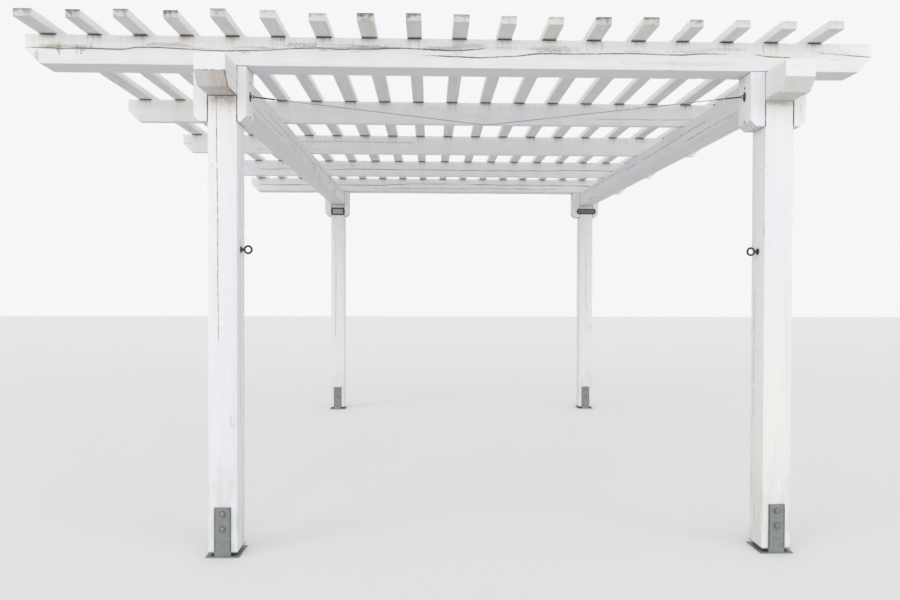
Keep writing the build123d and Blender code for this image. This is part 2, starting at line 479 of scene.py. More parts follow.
def markCrossBeams(place, facing, torn):
    look = crossBeamMarks
    x, _, z = split(place)
    roofed = fade(x, slatStart - slatHalf - 0.01, slatStart - slatHalf + 0.01)
    roofed = roofed * within(x, slatEnd + slatHalf, 0.01)
    underSlat = roofed * within(slatOffset(x), slatHalf, 0.004)
    drop = cloud(place, *look["drops"])
    high = fade(z, roofLevel - look["runDepth"], roofLevel - 0.004)
    # Painted shade with streaked grime at the top of each face, under every slat
    shadeUnderSlats = underSlat * fade(z, roofLevel - look["shadeUnderSlatsDepth"], roofLevel - 0.004)
    seat = within(columnOffset(x), timberHalf, 0.002) * seam(z - beamTop, torn, look["seatWidth"])
    return {
        "ageing": fade(z, beamTop + look["agedBand"][0], beamTop + look["agedBand"][1]),
        "runs": high * fade(drop, *look["runLevels"]),
        "runsUnderSlats": underSlat * high * fade(drop, *look["underSlatLevels"]),
        "shadeUnderSlats": shadeUnderSlats * fade(drop, *look["shadeUnderSlatsLevels"]),
        "ends": endGrain(facing, 0, torn),
        # Painted shadow, with a little dirt, right under each slat where it sits
        "contactShadow": underSlat * fade(z, roofLevel - look["contactShadowDepth"], roofLevel - 0.0022),
        "seat": seat,
    }


beamMarks = {
    # Centre and radii of each knot in the cut ends
    "leftEndKnots": (
        ((-1.094, -2.440, 2.240), (0.006, 0.014, 0.016)),
        ((-1.118, -2.452, 2.250), (0.004, 0.010, 0.010)),
        ((-1.076, -2.350, 2.208), (0.006, 0.024, 0.010)),
    ),
    "rightEndKnot": ((1.619, -2.468, 2.292), (0.010, 0.010, 0.009)),
    "splitReach": 0.0085,
    "foldHeight": 0.060,  # where an end's upright face meets its cut
    "foldWidth": 0.0045,
    "besideWidth": 0.0045,
    "grimeHeight": 0.050,
    # Each pattern's noise, and the levels of it between which the mark fades in
    "streaks": ((60.0, 9.0, 9.0), 4.0, 0.62),
    "streakLevels": (0.34, 0.66),
    "streakTone": 0.22,
    "brownTone": (0.26, 0.34),  # at the left edge, and how much more at the right one
    "peelingSpan": (-1.9, -1.4),  # between which it fades in along Y
    "peelingFlakes": ((15.0, 4.0, 15.0), 6.0, 0.66),
    "peelingLevels": (0.545, 0.585),
    "grimeClouds": ((40.0, 3.0, 60.0), 5.0, 0.65),
    "grimeLevels": (0.54, 0.62),
    "marks": {
        "leftEnd": (1.0, "leftEndTone"),
        "rightEnd": (0.70, "rightEndTone"),
        "fold": (0.55, "hairline"),
        "knots": (0.50, "woodBrown"),
        "rightKnot": (0.60, "mildew"),
        "peeling": (0.40, "ochre"),
        "grime": (0.40, "woodGrey"),
        "ends": (0.10, "woodGrey"),
        "split": (0.85, "gap"),
        "beside": (0.80, "joint"),
    },
}


def markBeams(place, facing, torn):
    look = beamMarks
    x, y, z = split(place)
    leftSide = leftHalf(x)
    leftMiddle = columnMiddle - columnReach
    # The cut ends in front have lost most of their paint, more so towards the left one's right edge
    atFront = within(y, frontFace, 0.003)
    cutEnd = fade(facing[2], -0.45, -0.60) * atFront
    streak = fade(cloud(place, *look["streaks"]), *look["streakLevels"])
    least, more = look["brownTone"]
    browner = fade(x, leftMiddle - timberHalf, leftMiddle + timberHalf) * leftSide * more + least
    endTone = cutEnd * (streak * look["streakTone"] + browner)
    fold = fade(away(z, postTop + look["foldHeight"]), look["foldWidth"], 0.0010)
    fold = fold * atFront * leftSide * fade(torn, -0.06, 0.05)
    knots = 0.0
    for centre, radii in look["leftEndKnots"]:
        knots = larger(knots, patch(place, centre, radii, 2.4, torn))
    # A dark band of painted shade along the split at the left end's right edge
    splitEdge = fade(leftMiddle + timberHalf - x + torn * 0.030, look["splitReach"], 0.003)
    # Elsewhere paint peels on the left beam's inner side, and grime gathers low down
    upright = fade(abs(facing[0]), 0.6, 0.9)
    peeling = fade(facing[0], 0.6, 0.9) * leftSide * fade(y, *look["peelingSpan"])
    peeling = peeling * fade(cloud(place, *look["peelingFlakes"]), *look["peelingLevels"])
    grime = upright * fade(z, postTop + look["grimeHeight"], postTop + 0.012)
    grime = grime * fade(cloud(place, *look["grimeClouds"]), *look["grimeLevels"])
    beside = within(rowOffset(y), timberHalf, 0.002) * fade(z, beamTop, beamTop - 0.01)
    beside = beside * seam(timberHalf - columnOffset(x), torn, look["besideWidth"])
    return {
        "leftEnd": endTone * leftSide,
        "rightEnd": endTone * (1.0 - leftSide),
        "fold": fold,
        "knots": knots,
        "rightKnot": patch(place, *look["rightEndKnot"], 1.6, torn),
        "peeling": peeling,
        "grime": grime,
        "ends": endGrain(facing, 1, torn),
        "split": splitEdge * cutEnd * leftSide,
        "beside": beside,
    }


postMarks = {
    "leftStainDepth": 0.095,
    "rightStainDepth": 0.034,
    "raggedness": 0.10,  # of the stains' lower edges
    "wash": ((30.0, 30.0, 7.0), 4.0, 0.6),
    "runLevels": (0.36, 0.62),
    "runTone": (0.4, 0.6),  # at least, and how much more where water has run
    "lowDarkeningHeight": 0.60,
    "lowDarkeningLevels": (0.34, 0.66),
    "plantReflectionPlace": ((-1.112, -2.230, 0.330), (0.062, 0.030, 0.120)),
    "besideWidth": 0.0048,
    "underWidth": 0.0055,
    "marks": {
        "leftStain": (0.62, "pinkTan"),
        "rightStain": (0.60, "tan"),
        "lowDarkening": (0.26, "woodGrey"),
        "plantReflectionTint": (0.14, "pinkTan"),
        "beside": (0.80, "joint"),
        "under": (0.85, "joint"),
    },
    # On the front posts: x, height, half width, half height, strength, colour
    "smears": (
        (-1.159, 1.876, 0.007, 0.012, 0.50, "tan"),
        (-1.136, 1.813, 0.006, 0.010, 0.45, "tan"),
        (-1.080, 2.180, 0.030, 0.016, 0.75, "woodBrown"),
        (-1.150, 2.186, 0.026, 0.012, 0.60, "woodBrown"),
        (-1.100, 2.196, 0.060, 0.008, 0.60, "mildew"),
        (1.514, 1.885, 0.005, 0.008, 0.55, "mildew"),
        (1.518, 1.850, 0.003, 0.005, 0.45, "mildew"),
    ),
}


def markPosts(place, facing, torn):
    look = postMarks
    x, _, z = split(place)
    leftSide = leftHalf(x)
    wash = cloud(place, *look["wash"])
    ragged = z + torn * look["raggedness"]
    least, more = look["runTone"]
    runs = fade(wash, *look["runLevels"]) * more + least
    leftStain = leftSide * fade(ragged, postTop - look["leftStainDepth"], postTop - 0.010) * runs
    rightStain = (1.0 - leftSide) * fade(ragged, postTop - look["rightStainDepth"], postTop - 0.004)
    beside = fade(z, cleatBottom - 0.004, cleatBottom + 0.002)
    beside = beside * seam(timberHalf - columnOffset(x), torn, look["besideWidth"])
    return {
        "leftStain": leftStain,
        "rightStain": rightStain,
        # Darker towards the ground, in patches
        "lowDarkening": fade(z, look["lowDarkeningHeight"], 0.04) * fade(wash, *look["lowDarkeningLevels"]),
        # A faint pink tint above the left front strap: painted reflection of nearby plants
        "plantReflectionTint": patch(place, *look["plantReflectionPlace"], 2.0, torn),
        "beside": beside,
        "under": leftSide * seam(postTop - z, torn, look["underWidth"]),
    }


nailHeights = (2.286, 2.120)

cleatMarks = {
    "haloReach": 0.013,
    "haloDrop": 0.003,
    "haloTorn": 0.02,
    "nearWidth": 0.0026,
    "topWidth": 0.0030,
    "marks": {
        "low": (0.26, "dirtAndShadeBrown"),
        "halo": (0.40, "rustPink"),
        "near": (0.80, "joint"),
        "top": (0.75, "joint"),
    },
}


def markCleats(place, facing, torn):
    look = cleatMarks
    x, y, z = split(place)
    # Rust has run from the nails
    halo = 0.0
    for height in nailHeights:
        reach = distanceFrom(rowOffset(y), z - (height - look["haloDrop"])) + torn * look["haloTorn"]
        halo = halo + fade(reach, look["haloReach"], 0.004)
    flat = fade(abs(facing[0]), 0.8, 0.95)
    return {
        # Painted shade with some brown dirt on the cut faces that look down
        "low": fade(facing[2], -0.3, -0.6) * fade(torn, -0.10, 0.12),
        "halo": halo * flat,
        "near": seam(columnOffset(x) - timberHalf, torn, look["nearWidth"]),
        "top": seam(beamTop - z, torn, look["topWidth"]),
    }


slatMarks = {
    "crustFrom": 0.018,
    "crustFull": 0.034,
    "arrisHeight": 0.0035,
    "edgeFrom": 0.030,
    "edgeFull": 0.038,
    "shadowReach": 0.034,
    "endTone": (0.30, 0.50),  # at least, and how much more where it is weathered
    "raggedness": 0.045,  # of the crust's lower edge
    "blotLevels": (0.005, 0.08),
    "streaks": ((34.0, 2.2, 34.0), 4.0, 0.62),
    "streakLevels": (0.44, 0.68),
    "marks": {
        "streaks": (0.20, "tan"),
        "edge": (0.34, "woodGrey"),
        "ends": (1.0, "endTone"),
        "arris": (0.40, "endGrey"),
        "blots": (0.55, "woodBrown"),
        "crust": (0.92, "endGrey"),
        "shadowBesideCrossBeams": (0.80, "contactShadow"),
    },
}


def markSlats(place, facing, torn):
    look = slatMarks
    _, y, z = split(place)
    underside = fade(facing[2], -0.4, -0.7)
    ends = sawnEnd(facing, 1)
    # A sawn end goes dark from its top edge down, more on some slats than on others
    weather = attribute(place, "weather")
    ragged = z + torn * look["raggedness"]
    crust = fade(ragged, roofLevel + look["crustFrom"], roofLevel + look["crustFull"])
    least, more = look["endTone"]
    arris = fade(z, roofLevel + look["arrisHeight"], roofLevel + 0.0010)
    # Painted shadow, with a little dirt, where each slat leaves a cross beam
    shadowBesideCrossBeams = 0.0
    for index in range(1, crossBeamCount + 1):
        low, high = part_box(f"cross_beam_{index}")
        reach = (high.y - low.y) / 2
        off = away(y, (low.y + high.y) / 2)
        shadow = fade(off, reach + look["shadowReach"], reach + 0.001)
        shadowBesideCrossBeams = shadowBesideCrossBeams + shadow * shadow * fade(off, reach - 0.008, reach - 0.002)
    streak = fade(cloud(place, *look["streaks"]), *look["streakLevels"])
    edge = fade(z, roofLevel + look["edgeFrom"], roofLevel + look["edgeFull"]) * fade(torn, -0.02, 0.10)
    return {
        "streaks": underside * streak,
        "edge": edge,
        "ends": ends * (weather * more + least),
        "arris": ends * arris,
        "blots": ends * weather * fade(torn, *look["blotLevels"]),
        "crust": ends * weather * crust,
        "shadowBesideCrossBeams": shadowBesideCrossBeams * underside,
    }


timberFinish = {
    "crossBeam": paintedTimber("white_paint_on_cross_beams", 0, crossBeamMarks, markCrossBeams),
    "beam": paintedTimber("white_paint_on_beams", 1, beamMarks, markBeams),
    "post": paintedTimber("white_paint_on_posts", 2, postMarks, markPosts),
    "cleat": paintedTimber("white_paint_on_cleats", 2, cleatMarks, markCleats),
    "slat": paintedTimber("white_paint_on_slats", 1, slatMarks, markSlats),
}
print("paint mixed:", len(timberFinish), "timber finishes")


# Metal finishes

boltHeights = (0.137, 0.208)

metalLook = {
    "bloomScale": 0.6,  # beside the grit's
    "bloomAmount": 0.5,
    "gritSoftness": 0.07,
    "spangleRoughness": 0.12,
    "fine": 420.0,
    "fineRelief": (0.0003, 0.6),
}


def zincFinish(name, look):
    shared = metalLook
    material, place, shader = newMaterial(name)
    # Spangle: how fine and how deep. Grit: how fine, the noise it starts at, and how strong
    fineness, depth = look["spangle"]
    shade = split(cells(place, fineness, "Color"))[0]
    colour = blendColour(shade * depth, look["light"], look["dark"])
    fineness, start, amount = look["grit"]
    bloom = fade(cloud(place, fineness * shared["bloomScale"], 5.0, 0.65), 0.48, 0.70)
    colour = blendColour(bloom * shared["bloomAmount"], colour, look["bloom"])
    if "rim" in look:
        # Darker along the long edges of the straps and round their bolts
        half, depth = look["rim"]
        x, _, z = split(place)
        off = columnOffset(x)
        rim = fade(off, half - depth, half - depth * 0.2) * fade(off, half + 0.004, half + 0.002)
        edgeDarkening = rim * fade(z, look["rimFrom"], look["rimFrom"] + 0.01)
        for height in boltHeights:
            reach = distanceFrom(off, z - height)
            edgeDarkening = larger(edgeDarkening, fade(reach, look["boltReach"], look["boltReach"] * 0.7))
        colour = blendColour(edgeDarkening * look["edgeDarkeningAmount"], colour, look["edgeDarkening"])
    grit = fade(cloud(place, fineness, 6.0, 0.7), start, start + shared["gritSoftness"])
    colour = blendColour(grit * amount, colour, look["rust"])
    feed(shader.inputs["Base Color"], colour)
    feed(shader.inputs["Metallic"], look["metallic"])
    feed(shader.inputs["Roughness"], shade * shared["spangleRoughness"] + look["roughness"])
    fine = cloud(place, shared["fine"], 3.0, 0.6)
    feed(shader.inputs["Normal"], bumpFrom(fine - grit, *shared["fineRelief"]))
    return material


metalFinish = {
    "zinc": zincFinish("dull_zinc", {
        "light": (0.282, 0.297, 0.299), "dark": (0.186, 0.197, 0.199), "bloom": (0.336, 0.347, 0.344),
        "rust": (0.170, 0.120, 0.085), "spangle": (62.0, 0.55), "grit": (42.0, 0.62, 0.45),
        "metallic": 0.20, "roughness": 0.46,
        # The straps' half width and how far in from it the darkening lies
        "rim": (0.039, 0.008), "rimFrom": 0.022, "boltReach": 0.019,
        "edgeDarkening": (0.070, 0.068, 0.066), "edgeDarkeningAmount": 0.75,
    }),
    "bolt": zincFinish("dark_bolt_steel", {
        "light": (0.330, 0.335, 0.332), "dark": (0.210, 0.213, 0.212), "bloom": (0.430, 0.430, 0.420),
        "rust": (0.110, 0.078, 0.058), "spangle": (240.0, 0.6), "grit": (95.0, 0.57, 0.6),
        "metallic": 0.75, "roughness": 0.26,
    }),
    "wire": zincFinish("weathered_wire", {
        "light": (0.290, 0.282, 0.275), "dark": (0.200, 0.194, 0.190), "bloom": (0.340, 0.330, 0.315),
        "rust": (0.200, 0.130, 0.090), "spangle": (300.0, 0.6), "grit": (120.0, 0.54, 0.5),
        "metallic": 0.35, "roughness": 0.50,
    }),
    "darkIron": zincFinish("dark_oxidised_iron", {
        "light": (0.062, 0.058, 0.055), "dark": (0.036, 0.034, 0.033), "bloom": (0.095, 0.088, 0.082),
        "rust": (0.120, 0.064, 0.040), "spangle": (260.0, 0.6), "grit": (110.0, 0.52, 0.6),
        "metallic": 0.45, "roughness": 0.50,
    }),
    "rustyNail": zincFinish("rusty_nail", {
        "light": (0.190, 0.085, 0.050), "dark": (0.110, 0.052, 0.034), "bloom": (0.260, 0.120, 0.070),
        "rust": (0.080, 0.042, 0.030), "spangle": (400.0, 0.6), "grit": (200.0, 0.50, 0.6),
        "metallic": 0.15, "roughness": 0.75,
    }),
    "castIron": zincFinish("black_cast_plate", {
        "light": (0.022, 0.021, 0.021), "dark": (0.013, 0.013, 0.013), "bloom": (0.050, 0.048, 0.046),
        "rust": (0.085, 0.055, 0.038), "spangle": (90.0, 0.6), "grit": (60.0, 0.62, 0.35),
        "metallic": 0.1, "roughness": 0.5,
    }),
    "paleField": zincFinish("pale_worn_field", {
        "light": (0.400, 0.385, 0.390), "dark": (0.300, 0.288, 0.292), "bloom": (0.470, 0.460, 0.455),
        "rust": (0.150, 0.115, 0.095), "spangle": (120.0, 0.5), "grit": (70.0, 0.57, 0.45),
        "metallic": 0.0, "roughness": 0.48,
    }),
    "greyField": zincFinish("grey_worn_field", {
        "light": (0.170, 0.160, 0.158), "dark": (0.120, 0.114, 0.112), "bloom": (0.250, 0.242, 0.235),
        "rust": (0.085, 0.066, 0.056), "spangle": (120.0, 0.5), "grit": (70.0, 0.56, 0.5),
        "metallic": 0.0, "roughness": 0.52,
    }),
}
print("metals mixed:", len(metalFinish))


# Shaping helpers

tiny = 1e-5  # closer than this to a plane, a point lies in it
columns = (("left", 1), ("right", -1))  # each with the way inward from it along X
postPlaces = [(row, column) for row in ("front", "rear") for column, _ in columns]


def axisVector(axis, length=1.0):
    return Vector([length if i == axis else 0.0 for i in range(3)])


def only(kind, geom):
    # The verts, edges or faces alone, out of what an operator gives back
    return [part for part in geom if isinstance(part, kind)]


def edgesOf(verts):
    # The edges that meet at any of the verts
    return list({edge for vert in verts for edge in vert.link_edges})


def bevelEdges(bm, edges, offset):
    bmesh.ops.bevel(bm, geom=edges, offset=offset, affect="EDGES", segments=2, profile=0.5, material=-1)


def keepPiece(name, bm, materials, slotName, smoothAngle=30.0, replaced=()):
    bmesh.ops.recalc_face_normals(bm, faces=bm.faces)
    mesh = bpy.data.meshes.new(name)
    bm.to_mesh(mesh)
    bm.free()
    mesh.shade_smooth()
    mesh.set_sharp_from_angle(angle=math.radians(smoothAngle))
    for material in materials:
        mesh.materials.append(material)
    piece = bpy.data.objects.new(name, mesh)
    bpy.context.scene.collection.objects.link(piece)
    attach(piece, "root")
    if replaced:
        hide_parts(*replaced)


def keepMetal(name, bm, *finishes, **more):
    keepPiece(name, bm, [metalFinish[finish] for finish in finishes], "galvanised_steel", **more)


def sliceAcross(bm, axis, places, side=None, face=0.0):
    # Cuts square to an axis, all round, or in the flat faces at one side alone
    normal = axisVector(axis)
    for at in places:
        faces = [f for f in bm.faces
                 if side is None or all(abs(v.co[side] - face) < tiny for v in f.verts)]
        edges = {e for f in faces for e in f.edges}
        verts = {v for f in faces for v in f.verts}
        bmesh.ops.bisect_plane(bm, geom=[*faces, *edges, *verts], dist=1e-6,
                               plane_co=axisVector(axis, at), plane_no=normal)


def sawOff(bm, point, direction):
    # Saws away what lies past the plane and closes the cut
    geom = bm.verts[:] + bm.edges[:] + bm.faces[:]
    cut = bmesh.ops.bisect_plane(bm, geom=geom, dist=1e-6, plane_co=point, plane_no=direction,
                                 clear_outer=True)
    bmesh.ops.edgeloop_fill(bm, edges=only(bmesh.types.BMEdge, cut["geom_cut"]))


def steps(low, high, step, dice):
    # Uneven places from low to high, about step apart
    places = []
    at = low + step * dice.uniform(0.6, 1.2)
    while at < high - step * 0.5:
        places.append(at)
        at += step * dice.uniform(0.7, 1.3)
    return places


def easeStep(value, start, end):
    t = min(1.0, max(0.0, (value - start) / (end - start)))
    return t * t * (3 - 2 * t)


def plateau(value, low, high, soft):
    # 1 from low to high, easing off past both
    return easeStep(value, low - soft, low) * (1 - easeStep(value, high, high + soft))


def ripple(kind, along, seed):
    # Smooth noise along a timber; its layer keeps one kind apart from another
    often, layer = timberLook[kind]
    return noise.noise(Vector((along * often, seed, layer)))


def drawn(dice, row):
    # A row of values, with a draw in place of each pair
    return [dice.uniform(*value) if isinstance(value, tuple) else value for value in row]


timberLook = {
    "easedEdge": 0.004,
    "lipWidth": 0.0003,
    "dirtWidth": 0.0040,
    "loopWidth": 0.0008,
    "crackFade": 0.12,
    "breakFade": 0.03,
    "openness": 0.62,
    "swelling": 0.75,
    "quickShare": 0.35,
    "jitter": 0.0010,
    "wear": 0.0015,
    "wearByEdge": 1.6,  # how much less a finer edge wears
    "dentsAbove": 0.42,
    "dents": 0.0140,
    # Each noise along a timber: how often it turns, and its layer
    "slow": (1.7, 0.0),
    "quick": (6.5, 4.0),
    "swell": (6.1, 3.0),
    "shake": (17.0, 9.0),
    "rub": (9.0, 1.0),
    "knock": (15.0, 5.0),
    "cornerSeeds": {(True, True): 0, (True, False): 11, (False, True): 23, (False, False): 37},
}
# The five loops that a check is cut by, and how far each lies from its line: dirt, lip, bottom,
# lip, dirt
lipLoop = timberLook["loopWidth"]
dirtLoop = lipLoop + timberLook["dirtWidth"]
crackLoops = {-2: -dirtLoop, -1: -lipLoop, 0: 0.0, 1: lipLoop, 2: dirtLoop}


def check(side, sign, at, start, end, wide, deep, wander=0.006, **more):
    # One drying check: the face it is in, where along the timber it runs, and how far it opens
    return dict(side=side, sign=sign, at=at, start=start, end=end, open=wide, deep=deep,
                wander=wander, **more)


def crackPlace(crack, along):
    # Where a check runs: through its own points, or wandering about a straight line
    points = crack.get("path")
    if not points:
        quick = timberLook["quickShare"] * ripple("quick", along, crack["seed"])
        return crack["at"] + crack["wander"] * (ripple("slow", along, crack["seed"]) + quick)
    if along <= points[0][0]:
        return points[0][1]
    for (a, left), (b, right) in zip(points, points[1:]):
        if along <= b:
            return left + (right - left) * (along - a) / (b - a)
    return points[-1][1]


def crackOpenness(crack, along):
    look = timberLook
    start, end = crack["start"], crack["end"]
    ends = easeStep(along, start, start + look["crackFade"])
    ends *= 1 - easeStep(along, end - look["crackFade"], end)
    for low, high in crack.get("breaks", ()):
        ends *= 1 - plateau(along, low, high, look["breakFade"])
    swell = look["openness"] + look["swelling"] * ripple("swell", along, crack["seed"])
    for place, reach, more in crack.get("thick", ()):
        swell += more * max(0.0, 1 - abs(along - place) / reach)
    return max(0.0, ends * swell)


def openCrack(bm, crack, axis, layer):
    # Moves the loops of one check apart and sinks the middle one
    look = timberLook
    side, across = crack["side"], crack["across"]
    for vert in bm.verts:
        if abs(vert.co[side] - crack["face"]) > tiny:
            continue
        offset = vert.co[across] - crack["at"]
        levels = [level for level, loop in crackLoops.items() if abs(offset - loop) <= tiny]
        if not levels:
            continue
        level = levels[0]
        along = vert.co[axis]
        openness = crackOpenness(crack, along)
        target = crackPlace(crack, along) + look["jitter"] * ripple("shake", along, crack["seed"])
        if level:
            half = look["lipWidth"] + crack["open"] / 2 * openness
            half += look["dirtWidth"] * (abs(level) == 2)
            target += math.copysign(half, level)
        # Past the check's own ends its loops come back to where they were cut
        held = plateau(along, crack["start"], crack["end"], look["breakFade"] * 2)
        vert.co[across] += held * (target - vert.co[across])
        if level == 0:
            vert.co[side] -= crack["sign"] * crack["deep"] * min(1.2, openness)
            vert[layer] = min(1.0, openness * 4)
        elif abs(level) == 1:
            vert[layer] = max(vert[layer], 0.55 * min(1.0, openness * 3))


def wearEdges(bm, low, high, axis, eased, seed):
    # Rubs the long corners unevenly and knocks a few dents in them
    look = timberLook
    share = (eased / look["easedEdge"]) ** look["wearByEdge"]
    others = [i for i in range(3) if i != axis]
    middle = (low + high) / 2
    for vert in bm.verts:
        near = [min(vert.co[i] - low[i], high[i] - vert.co[i]) for i in others]
        if max(near) > eased * 1.05:
            continue
        corner = tuple(vert.co[i] > middle[i] for i in others)
        key = seed * 5.7 + look["cornerSeeds"][corner]
        rub = abs(ripple("rub", vert.co[axis], key)) * look["wear"]
        knock = max(0.0, ripple("knock", vert.co[axis], key) - look["dentsAbove"]) * look["dents"]
        for i in others:
            vert.co[i] += share * (rub + knock) * (1 if vert.co[i] < middle[i] else -1)


def makeTimber(node, axis, finish, cracks=(), sawCuts=(), step=0.03, eased=None, easedEdges=None, seed=0,
               planed=0.0, weather=None):
    dice = random.Random(seed)
    low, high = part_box(node)
    high.z -= planed
    eased = eased or timberLook["easedEdge"]
    bm = bmesh.new()
    bmesh.ops.create_cube(bm, size=1.0)
    bmesh.ops.scale(bm, vec=high - low, verts=bm.verts)
    bmesh.ops.translate(bm, vec=(high + low) / 2, verts=bm.verts)
    long = [e for e in bm.edges if abs((e.verts[0].co - e.verts[1].co)[axis]) > 1e-4]
    if easedEdges:
        long = [e for e in long if easedEdges(e.verts[0].co)]
    bevelEdges(bm, long, eased)
    for point, direction in sawCuts:
        sawOff(bm, point, direction.normalized())
    sliceAcross(bm, axis, steps(low[axis], high[axis], step, dice))
    layer = bm.verts.layers.float.new("gap")
    for number, crack in enumerate(cracks):
        side = crack["side"]
        across = 3 - axis - side
        face = high[side] if crack["sign"] > 0 else low[side]
        crack.update(face=face, across=across, seed=seed * 7.3 + number * 3.1)
        crack["at"] += (low[across] + high[across]) / 2
        sliceAcross(bm, across, [crack["at"] + loop for loop in crackLoops.values()], side, face)
    for crack in cracks:
        openCrack(bm, crack, axis, layer)
    wearEdges(bm, low, high, axis, eased, seed)
    if weather is not None:
        layer = bm.verts.layers.float.new("weather")
        for vert in bm.verts:
            vert[layer] = weather
    keepPiece(f"{node}_timber", bm, [finish], "white_painted_timber", replaced=[node])


# The five cross beams. The first one's two long checks follow its own grain. In every piece's
# settings a row for a check holds what check() takes, and a pair in it is a range to draw from

crossBeamLook = {
    "endCut": 0.068,
    "boardEdge": 0.002,
    "step": 0.022,
    "firstDraw": 40,  # seeds are counted on from here, one for each
    # Along the beam, and height
    "upperCheck": {
        "path": (
            (-2.03, 2.423), (-1.956, 2.423), (-1.849, 2.420), (-1.765, 2.423), (-1.652, 2.420),
            (-1.569, 2.419), (-1.510, 2.430), (-1.398, 2.430), (-1.285, 2.424), (-1.173, 2.418),
            (-1.074, 2.417), (-0.993, 2.420), (-0.913, 2.4205), (-0.832, 2.428), (-0.737, 2.434),
            (-0.651, 2.437), (-0.555, 2.431), (-0.460, 2.434), (-0.379, 2.434), (-0.335, 2.440),
            (-0.254, 2.440), (-0.158, 2.437), (-0.023, 2.431), (0.044, 2.434), (0.141, 2.443),
            (1.785, 2.440), (1.900, 2.432), (2.013, 2.424),
        ),
        "breaks": ((0.15, 1.76),),
        "thick": ((-0.55, 0.10, 0.5), (-0.32, 0.10, 0.7), (-0.08, 0.12, 0.6), (-1.93, 0.10, 0.3),
                  (1.90, 0.25, -0.35)),
    },
    "lowerCheck": {
        "path": (
            (-0.200, 2.402), (-0.120, 2.406), (-0.023, 2.4035), (0.115, 2.3986), (0.226, 2.405),
            (0.289, 2.408), (0.392, 2.421), (0.475, 2.422), (0.672, 2.423), (0.756, 2.426),
            (0.868, 2.4275), (0.952, 2.425), (1.093, 2.422), (1.191, 2.430), (1.304, 2.430),
            (1.460, 2.428), (1.517, 2.420), (1.616, 2.417), (1.800, 2.412), (1.960, 2.405),
        ),
        "breaks": ((1.33, 1.44), (1.64, 1.80)),
        "thick": ((0.42, 0.12, 0.4), (1.12, 0.12, 0.3), (1.90, 0.12, -0.3)),
    },
    "frontChecks": {
        2: ((1, -1, -0.030, 0.9, 1.9, 0.0010, 0.005),),
        3: ((1, -1, 0.020, -1.2, -0.2, 0.0010, 0.005),),
        4: ((1, -1, -0.009, -1.75, 1.80, 0.0032, 0.010, 0.010),),
        5: ((1, -1, 0.002, -2.00, 1.95, 0.0044, 0.012, 0.014),
            (1, -1, -0.036, -0.60, 1.30, 0.0018, 0.007, 0.006)),
    },
    "backCheck": (1, 1, 0.020, (-1.9, -0.6), (0.4, 1.9), 0.0026, 0.009, 0.009),
    "thickBackCheck": (1, 1, -0.034, (-0.5, 0.3), (1.2, 1.9), 0.0018, 0.007),
}


def makeCrossBeams():
    look = crossBeamLook
    cut = look["endCut"]
    for index in range(1, crossBeamCount + 1):
        node = f"cross_beam_{index}"
        low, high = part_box(node)
        sawCuts = (
            (Vector((low.x + cut, 0, low.z)), Vector((-1, 0, -1))),
            (Vector((high.x - cut, 0, low.z)), Vector((1, 0, -1))),
        )
        if index == 1:
            cracks = [
                check(1, -1, 0.012, -2.06, 2.06, 0.0037, 0.012, **look["upperCheck"]),
                check(1, -1, -0.016, -0.20, 2.00, 0.0030, 0.010, **look["lowerCheck"]),
            ]
        else:
            cracks = [check(*row) for row in look["frontChecks"][index]]
        dice = random.Random(look["firstDraw"] + index)
        thin = high.y - low.y < timberHalf
        cracks.append(check(*drawn(dice, look["backCheck"])))
        if not thin:
            cracks.append(check(*drawn(dice, look["thickBackCheck"])))
        makeTimber(node, 0, timberFinish["crossBeam"], cracks, sawCuts, step=look["step"], seed=index,
                   eased=look["boardEdge"] if thin else None)
    print("cross beams sawn and cracked:", crossBeamCount)


beamLook = {
    "cutLength": 0.050,
    "cutHeight": beamMarks["foldHeight"],
    "step": 0.028,
    "firstSeed": 20,
    # Which side a check is in, 1 for the inner one, and then where it runs and how far it opens
    "checks": (
        (1, -0.040, -1.95, -1.10, 0.0015, 0.006, 0.005),
        (1, 0.008, -1.60, 0.30, 0.0019, 0.008, 0.008),
        (1, 0.036, 0.20, 2.00, 0.0017, 0.008, 0.006),
        (-1, 0.030, -1.8, 1.2, 0.0024, 0.010, 0.008),
        (-1, -0.030, -0.2, 2.2, 0.0017, 0.008, 0.006),
    ),
}


def makeBeams():
    look = beamLook
    rise, run = look["cutHeight"], look["cutLength"]
    for number, (column, inward) in enumerate(columns):
        node = f"beam_{column}"
        low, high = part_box(node)
        sawCuts = (
            (Vector((0, low.y + run, low.z)), Vector((0, -rise, -run))),
            (Vector((0, high.y - run, low.z)), Vector((0, rise, -run))),
        )
        cracks = [check(0, inward * way, *row) for way, *row in look["checks"]]
        makeTimber(node, 1, timberFinish["beam"], cracks, sawCuts, step=look["step"],
                   seed=look["firstSeed"] + number)
    print("long beams sawn and cracked:", len(columns))


postLook = {
    "step": 0.028,
    "firstSeed": 30,
    "firstDraw": 80,
    # The left front post's check. Height, and offset from the post's middle
    "frontPath": (
        (1.10, -0.019), (1.35, -0.022), (1.60, -0.021), (1.80, -0.0235), (2.00, -0.026), (2.20, -0.028),
    ),
    "frontCheck": (1, -1, -0.024, 1.00, 2.30, 0.0012, 0.010),
    "rearPostCheck": (1, -1, (-0.03, 0.03), (0.3, 1.2), (1.7, 2.1), 0.0012, 0.009),
    "checks": (
        (0, 1, (-0.03, 0.03), (0.2, 0.9), (1.5, 2.1), 0.0020, 0.010),
        (0, -1, (0.030, 0.040), (0.2, 0.6), (1.2, 2.0), 0.0018, 0.010),
        (1, 1, (0.020, 0.036), (0.4, 0.9), (1.6, 2.1), 0.0020, 0.010),
    ),
}


